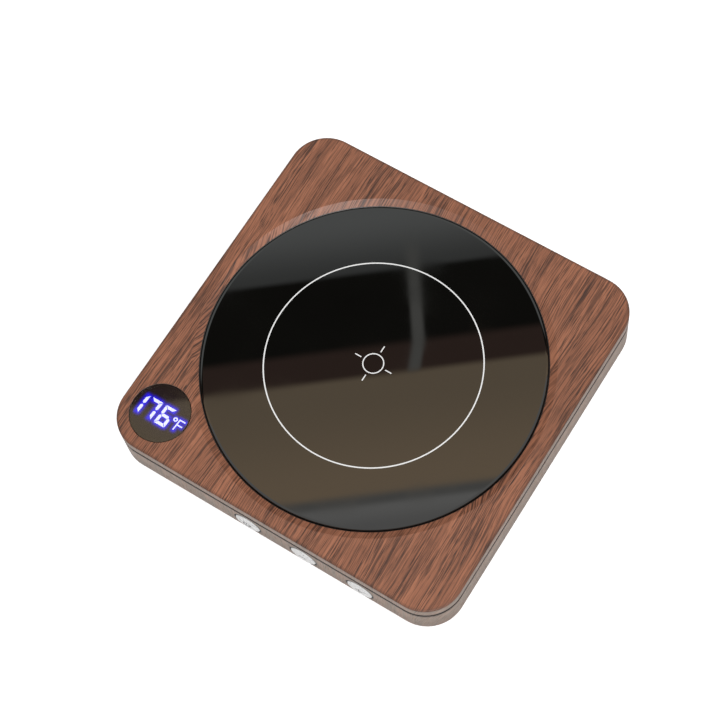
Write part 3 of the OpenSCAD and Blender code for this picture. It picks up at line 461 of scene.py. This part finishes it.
# The lit strokes as boxes, in millimetres from the middle of the lens and before the digits'
# lean. Each digit has strokes a to g, clockwise from the top one, with g across its middle.
DIGIT_HALF_W = 1.95
DIGIT_HALF_H = 3.3
STROKE = 1.0
LEAN = math.tan(math.radians(4))
DIGITS_Y = 0.2
BLEED_REACH = 1.8
HALO_REACH = 6.0
upright = (STROKE / 2, DIGIT_HALF_H / 2 - 0.2)
level = (DIGIT_HALF_W - STROKE / 2, STROKE / 2)
STROKES = {
    "a": (0, DIGIT_HALF_H - STROKE / 2, *level),
    "b": (DIGIT_HALF_W - STROKE / 2, DIGIT_HALF_H / 2, *upright),
    "c": (DIGIT_HALF_W - STROKE / 2, -DIGIT_HALF_H / 2, *upright),
    "d": (0, STROKE / 2 - DIGIT_HALF_H, *level),
    "e": (STROKE / 2 - DIGIT_HALF_W, -DIGIT_HALF_H / 2, *upright),
    "f": (STROKE / 2 - DIGIT_HALF_W, DIGIT_HALF_H / 2, *upright),
    "g": (0, 0, *level),
}
LIT_DIGITS = [(-8.20, "bc"), (-3.55, "abc"), (1.55, "acdefg")]
UNIT_STROKES = [(4.865, 0.75, 0.5, 0.5), (6.20, -0.48, 0.2, 1.95), (7.05, 1.27, 1.1, 0.2),
                (6.95, -0.48, 0.9, 0.2)]

lit_boxes = []
for digit_x, names in LIT_DIGITS:
    for name in names:
        stroke_x, stroke_y, half_w, half_h = STROKES[name]
        lit_boxes.append((digit_x + stroke_x, stroke_y, half_w, half_h))

glowing_reflector, place = new_finish("glowing_reflector")
x, y = place.parts()[:2]
level_y = (y - lens_y) / MM - DIGITS_Y
level_x = (x - lens_x) / MM - level_y * LEAN
distances = []
for stroke_x, stroke_y, half_w, half_h in lit_boxes + UNIT_STROKES:
    aside = (abs(level_x - stroke_x) - half_w).maths("MAXIMUM", 0.0)
    above = (abs(level_y - stroke_y) - half_h).maths("MAXIMUM", 0.0)
    distances.append((aside * aside + above * above).maths("SQRT"))
from_light = smallest(distances)
bleed = 1 - from_light.rise(-0.3, BLEED_REACH)
glow = bleed * bleed + (1 - from_light.rise(0.0, HALO_REACH)) * 0.004
apply_finish(glowing_reflector, {
    "Base Color": place.noise(scale=8000.0).blend(rgb(12, 12, 13), rgb(15, 15, 16)),
    "Roughness": 0.55 + place.noise(scale=8000.0) * 0.1,
    "Emission Color": glow.blend((0.0, 0.0, 0.0, 1.0), (0.004, 0.0, 1.0, 1.0)),
    "Emission Strength": 9.0,
})
dress(glowing_reflector, "display_reflector", "dark_segments")

lit_guides, place = new_finish("lit_guides")
cloud = place.noise(scale=900.0)
apply_finish(lit_guides, {
    "Base Color": cloud.blend(rgb(214, 220, 240), rgb(232, 236, 248)),
    "Roughness": 0.3 + cloud * 0.1,
    "Emission Color": cloud.blend((0.70, 0.74, 1.0, 1.0), (0.86, 0.88, 1.0, 1.0)),
    "Emission Strength": 10.0,
})
dress(lit_guides, "lit_segments")
phosphor = plain_finish("phosphor", rgb(226, 208, 120), rgb(240, 226, 150), 0.35, 2500.0)
dress(phosphor, "display_leds")

# ---------- boards and what they carry ----------
# Glass-fibre boards, whose green resist stands up a little over the copper tracks. They carry
# nylon plugs, moulded chips and a ferrite choke.

TRACK_SPACING = 1.9 * MM

green_resist, place = new_finish("green_resist")
weave = place.noise(scale=1800.0)
lane = (place.parts()[0] / TRACK_SPACING).maths("PINGPONG", 1.0).rise(0.72, 0.8)
tracks = lane * place.noise(scale=70.0, detail=0.0).rise(0.5, 0.52)
resist = weave.blend(rgb(18, 92, 50), rgb(26, 108, 60))
apply_finish(green_resist, {
    "Base Color": tracks.blend(resist, rgb(38, 132, 74)),
    "Roughness": 0.28 + weave * 0.12,
    "Normal": tracks.bump(0.03 * MM),
})
dress(green_resist, "display_board", "button_board", "main_board")
white_nylon = plain_finish("white_nylon", rgb(226, 226, 216), rgb(238, 238, 230), 0.45, 1200.0,
                           0.01 * MM)
dress(white_nylon, "button_plug", "board_plugs")
chip_epoxy = plain_finish("chip_epoxy", rgb(28, 28, 29), rgb(38, 38, 39), 0.55, 3000.0, 0.01 * MM)
dress(chip_epoxy, "controller_chip", "power_transistor")
ferrite = plain_finish("ferrite", rgb(50, 51, 54), rgb(66, 67, 71), 0.6, 2200.0, 0.02 * MM)
dress(ferrite, "choke")

# ---------- buttons ----------
# Three moulded caps in a silver-white lacquer, slightly domed, each on its own slide in the
# front wall. Their signs are pad printed in grey: power, less and more.

silver_lacquer, place = new_finish("silver_lacquer")
normal = place.node("ShaderNodeTexCoord", {}, {}, "Normal")
flake = place.noise(scale=9000.0, detail=1.0)
wear = place.noise(scale=700.0, detail=3.0)

# The cap's rim, where it turns away from the front into the gap, is painted grey as painted shade.
front_outside_rim_shade = abs(normal.parts()[1]).rise(0.3, 0.9)
lacquer = flake.blend(rgb(234, 234, 233), rgb(249, 249, 247))
apply_finish(silver_lacquer, {
    "Base Color": front_outside_rim_shade.blend(rgb(176, 176, 175), lacquer),
    "Roughness": 0.24 + wear * 0.08,
    "Metallic": 0.15,
    "Normal": flake.bump(0.002 * MM),
})
grey_print, place = new_finish("grey_print")
dots = place.noise(scale=9000.0)
apply_finish(grey_print, {
    "Base Color": dots.blend(rgb(96, 97, 100), rgb(118, 119, 122)),
    "Roughness": 0.5 + dots * 0.15,
})
CAP_RADIUS = 4.35 * MM
CAP_DOME = 0.33 * MM
CAP_EDGE = 0.15 * MM
DOME_STEPS = 8
FLANGE = 0.8 * MM
STEM_RADIUS = 1.75 * MM
STEM = 0.6 * MM
PRINT = 0.02 * MM
SIGN_RADIUS = 1.25 * MM
SIGN_STROKE = 0.3 * MM
ARC_START = math.radians(125)
ARC_LENGTH = math.radians(290)
ARC_STEPS = 28


def power_sign():
    """Open ring with an upright bar in its gap, lying on z = 0."""
    sign = bmesh.new()
    overlapping = 1.04 * SIGN_RADIUS * ARC_LENGTH / ARC_STEPS
    for step in range(ARC_STEPS):
        angle = ARC_START + ARC_LENGTH * (step + 0.5) / ARC_STEPS
        middle = (SIGN_RADIUS * math.cos(angle), SIGN_RADIUS * math.sin(angle), PRINT / 2)
        block(sign, (overlapping, SIGN_STROKE, PRINT), middle, angle + math.pi / 2)
    block(sign, (SIGN_STROKE, SIGN_RADIUS, PRINT), (0, SIGN_RADIUS * 0.75, PRINT / 2))
    return sign


def less_sign():
    sign = bmesh.new()
    block(sign, (2 * SIGN_RADIUS, SIGN_STROKE, PRINT), (0, 0, PRINT / 2))
    return sign


def more_sign():
    sign = less_sign()
    arm = SIGN_RADIUS - SIGN_STROKE / 2
    for side in (-1, 1):
        block(sign, (SIGN_STROKE, arm, PRINT), (0, side * (SIGN_STROKE + arm) / 2, PRINT / 2))
    return sign


def face_front(mesh_data, middle):
    """Turns a shape so that its +Z points out of the front wall, and moves it there."""
    bmesh.ops.rotate(mesh_data, verts=mesh_data.verts, matrix=Matrix.Rotation(math.pi / 2, 3, "X"))
    return move(mesh_data, middle)


for side, sign in (("left", power_sign()), ("middle", less_sign()), ("right", more_sign())):
    low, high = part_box(f"{side}_button")
    front_middle = ((low[0] + high[0]) / 2, low[1], (low[2] + high[2]) / 2)
    back = low[1] - high[1]
    flange_radius = (high[0] - low[0]) / 2
    crown = -PRINT
    profile = [
        (0, back),
        (STEM_RADIUS, back),
        (STEM_RADIUS, back + STEM),
        (flange_radius, back + STEM),
        (flange_radius, back + STEM + FLANGE),
        (CAP_RADIUS, back + STEM + FLANGE),
        (CAP_RADIUS, crown - CAP_DOME - CAP_EDGE),
    ]
    for step in range(DOME_STEPS, -1, -1):
        radius = (CAP_RADIUS - CAP_EDGE) * step / DOME_STEPS
        profile.append((radius, crown - CAP_DOME * (radius / CAP_RADIUS) ** 2))
    cap_data = turn(profile, segments=96)

    # The flange has a flat above and below, where it clears the cover and the case.
    half_height = (high[2] - low[2]) / 2
    for vert in cap_data.verts:
        vert.co.y = max(-half_height, min(half_height, vert.co.y))
    cap = new_piece(f"{side}_cap", f"{side}_button_body", silver_lacquer,
                    face_front(cap_data, front_middle))
    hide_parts(f"{side}_button")
    new_piece(f"{side}_sign", f"{side}_button_body", grey_print,
              face_front(move(sign, (0, 0, -PRINT)), front_middle))

# ---------- power inlet and underside ----------
# A nickel-plated pin and a brass spring strip in a black moulding, and a blank satin plate
# stuck into its recess under the case.

nickel = plain_finish("nickel", rgb(198, 196, 190), rgb(222, 220, 214), 0.12, 1200.0, Metallic=1.0)
dress(nickel, "inlet_pin")
spring_brass = plain_finish("spring_brass", rgb(196, 162, 84), rgb(218, 184, 104), 0.22, 1200.0,
                            Metallic=1.0)
dress(spring_brass, "inlet_contact")
satin_plate = plain_finish("satin_plate", rgb(132, 134, 137), rgb(150, 152, 155), 0.38, 1100.0,
                           0.005 * MM)
dress(satin_plate, "blank_plate")

# ---------- studio ----------
# A pale floor, soft daylight from the front right, and a room overhead whose bright and dark
# strips lie across the glass. The floor glows for the camera only, so it casts no light upwards.

floor_finish, place = new_finish("pale_floor")
paper = place.noise(scale=6.0, detail=3.0)
seen = place.node("ShaderNodeLightPath", {}, {}, "Is Camera Ray")
apply_finish(floor_finish, {
    "Base Color": paper.blend(rgb(236, 236, 236), rgb(240, 240, 240)),
    "Roughness": 0.9,
    "Specular IOR Level": 0.0,
    "Emission Color": seen.blend((0.0, 0.0, 0.0, 1.0), (1.0, 1.0, 1.0, 1.0)),
    "Emission Strength": 0.6,
})
FLOOR_SIZE = 4.0
FLOOR_THICKNESS = 0.01
floor_data = bmesh.new()
block(floor_data, (FLOOR_SIZE, FLOOR_SIZE, FLOOR_THICKNESS), (0, 0, -FLOOR_THICKNESS / 2))
floor_mesh = bpy.data.meshes.new("floor")
floor_data.to_mesh(floor_mesh)
floor_data.free()
floor_mesh.materials.append(floor_finish)
floor = bpy.data.objects.new("floor", floor_mesh)
bpy.context.scene.collection.objects.link(floor)
floor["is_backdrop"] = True

scene = bpy.context.scene
scene.view_settings.view_transform = "Standard"
world = bpy.data.worlds.new("room")
scene.world = world
world.use_nodes = True
tree = world.node_tree
direction = Shade(tree, tree.nodes.new("ShaderNodeTexCoord").outputs["Generated"])
dx, dy, dz = direction.parts()

# Where a direction meets a ceiling one metre up, measured across the strips and along them.
STRIP_COS = 0.784
STRIP_SIN = 0.621
upward = dz.maths("MAXIMUM", 0.05)
ceiling_x = dx / upward
ceiling_y = dy / upward
across_strips = ceiling_y * STRIP_COS - ceiling_x * STRIP_SIN
along_strips = ceiling_x * STRIP_COS + ceiling_y * STRIP_SIN

PALE = (1.42, 1.42, 1.40, 1.0)
SHEEN = (1.78, 1.78, 1.74, 1.0)
SHADOW = (1.02, 1.02, 0.98, 1.0)
SAND = (2.12, 1.58, 1.04, 1.0)
TAUPE = (1.64, 1.27, 0.86, 1.0)
BROWN = (0.38, 0.225, 0.18, 1.0)
BLACK = (0.034, 0.030, 0.022, 1.0)
DUSK = (0.56, 0.58, 0.57, 1.0)
SILVER = (1.29, 1.34, 1.32, 1.0)
sand_strip = across_strips.rise(0.347, 0.40).blend(SAND, TAUPE)
silver_strip = across_strips.rise(0.470, 0.506).blend(DUSK, SILVER)
ceiling = PALE
for fade_start, fade_end, strip in (
        (0.3260, 0.3360, SHEEN),
        (0.3365, 0.3405, SHADOW),
        (0.3415, 0.3465, sand_strip),
        (0.4080, 0.4130, BROWN),
        (0.4245, 0.4305, BLACK),
        (0.4695, 0.4735, silver_strip)):
    ceiling = across_strips.rise(fade_start, fade_end).blend(ceiling, strip)

# A pale cord hangs across the dark strips, with a bend in it.
CORD = (0.98, 0.98, 0.92, 1.0)
BEND_ACROSS = 0.427
BEND_ALONG = 0.0017
from_bend = across_strips - BEND_ACROSS
course = from_bend.maths("MINIMUM", 0.0) * 0.27 + from_bend.maths("MAXIMUM", 0.0) * 0.055
from_cord = abs(along_strips - BEND_ALONG - course)
cord_ends = across_strips.rise(0.4085, 0.4125) * (1 - across_strips.rise(0.478, 0.492))
cord = (1 - from_cord.rise(0.0019, 0.0046)) * cord_ends
ceiling = cord.blend(ceiling, CORD)

# Mirrored rays meet the room, matt surfaces get an even light, and the camera sees white.
WHITE = (1.0, 1.0, 1.0, 1.0)
far_wall = (dy - dx).rise(0.1, 0.7).blend(WHITE, (0.35, 0.30, 0.26, 1.0))
room_walls = (dx - dy).rise(0.1, 0.7).blend(far_wall, (1.3, 1.3, 1.3, 1.0))
room = dz.rise(0.60, 0.75).blend(room_walls, ceiling)
glossy = direction.node("ShaderNodeLightPath", {}, {}, "Is Glossy Ray")
diffuse = direction.node("ShaderNodeLightPath", {}, {}, "Is Diffuse Ray")
even_light = diffuse.blend(WHITE, (0.42, 0.42, 0.43, 1.0))
background = tree.nodes["Background"]
tree.links.new(glossy.blend(even_light, room).socket, background.inputs["Color"])

key = bpy.data.lights.new("key_light", "AREA")
key.energy = 7.0
key.size = 0.5
key_lamp = bpy.data.objects.new("key_light", key)
key_lamp.location = (0.34, -0.31, 1.05)
key_lamp.rotation_euler = (-Vector(key_lamp.location)).to_track_quat("-Z", "Y").to_euler()
scene.collection.objects.link(key_lamp)

camera = bpy.data.cameras.new("camera")
camera.lens = 100.66
camera.sensor_width = 36.0
camera.clip_start = 0.01
viewpoint = bpy.data.objects.new("camera", camera)
viewpoint.location = (0.15702, -0.17640, 0.58418)
viewpoint.rotation_euler = [math.radians(angle) for angle in (22.468, 4.324, 32.251)]
scene.collection.objects.link(viewpoint)
scene.camera = viewpoint

low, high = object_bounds()
